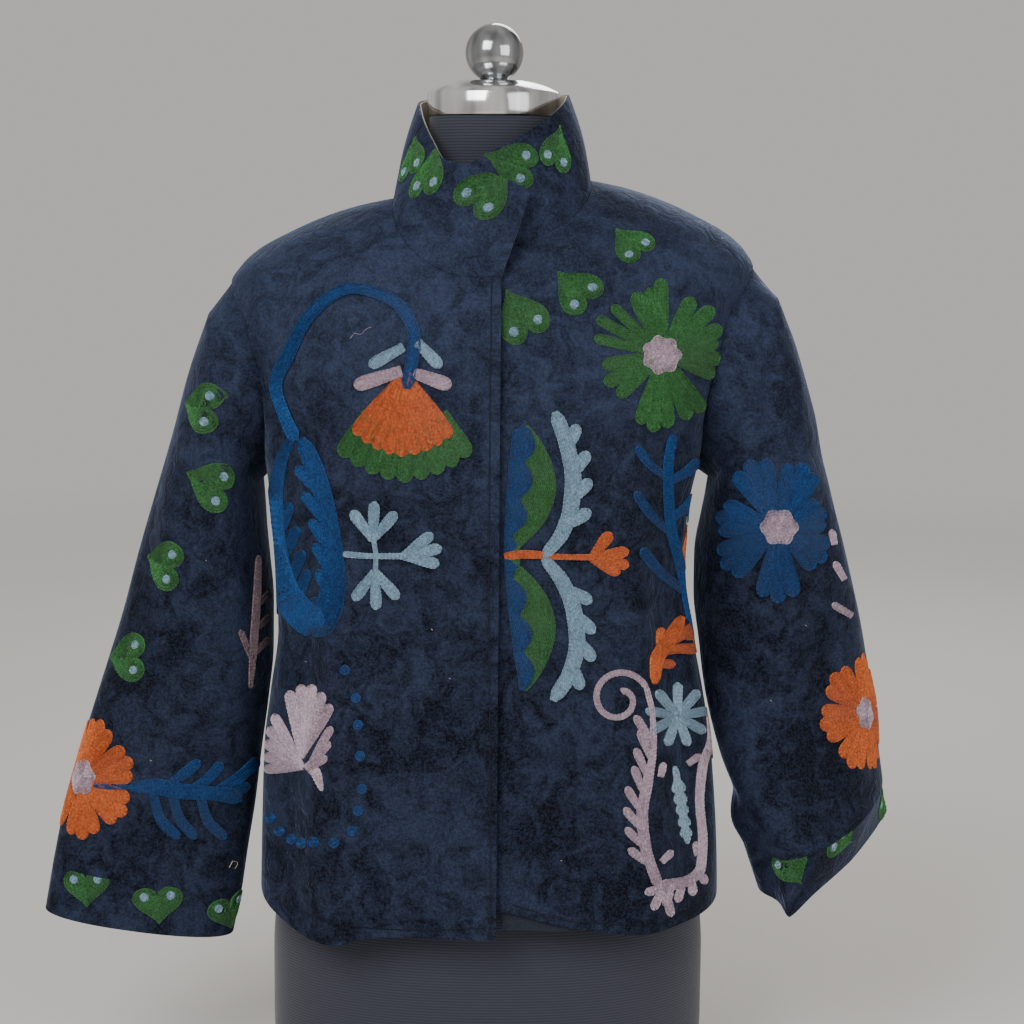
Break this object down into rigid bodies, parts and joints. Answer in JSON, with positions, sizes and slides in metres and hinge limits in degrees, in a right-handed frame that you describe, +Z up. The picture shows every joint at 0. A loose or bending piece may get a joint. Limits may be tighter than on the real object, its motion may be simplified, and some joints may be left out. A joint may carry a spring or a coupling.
{
  "type": "suzani jacket on a limbless dress form",
  "caption": "Short dark velvet jacket with stand collar and chain-stitched flowers, worn by a limbless dress form with a steel neck cap and ball.",
  "frame": {"origin": "middle of the underside of the dress form's base plate", "axes": "+Z up along the form's neck, -Y out of the jacket's front, +X towards the wearer's left"},
  "size_m": [0.739, 0.2914, 0.9094],
  "materials": {
    "velvet": "dark navy cotton velvet with coloured chain-stitch embroidery, matt with a soft sheen",
    "lining": "cream woven lining",
    "facing": "dark plain facing",
    "form_jersey": "dark ribbed jersey over a padded form",
    "steel": "polished steel",
    "base_board": "matt dark board"
  },
  "bodies": {
    "root": {"right_front": "velvet", "left_front": "velvet", "right_back": "velvet", "left_back": "velvet", "right_sleeve_front": "velvet", "right_sleeve_back": "velvet", "left_sleeve_front": "velvet", "left_sleeve_back": "velvet", "right_cuff": "velvet", "left_cuff": "velvet", "collar": "velvet", "collar_lining": "lining", "left_hem_facing": "facing", "form_torso": "form_jersey", "form_neck_cap": "steel", "form_finial": "steel", "form_base": "base_board"}
  },
  "joints": []
}
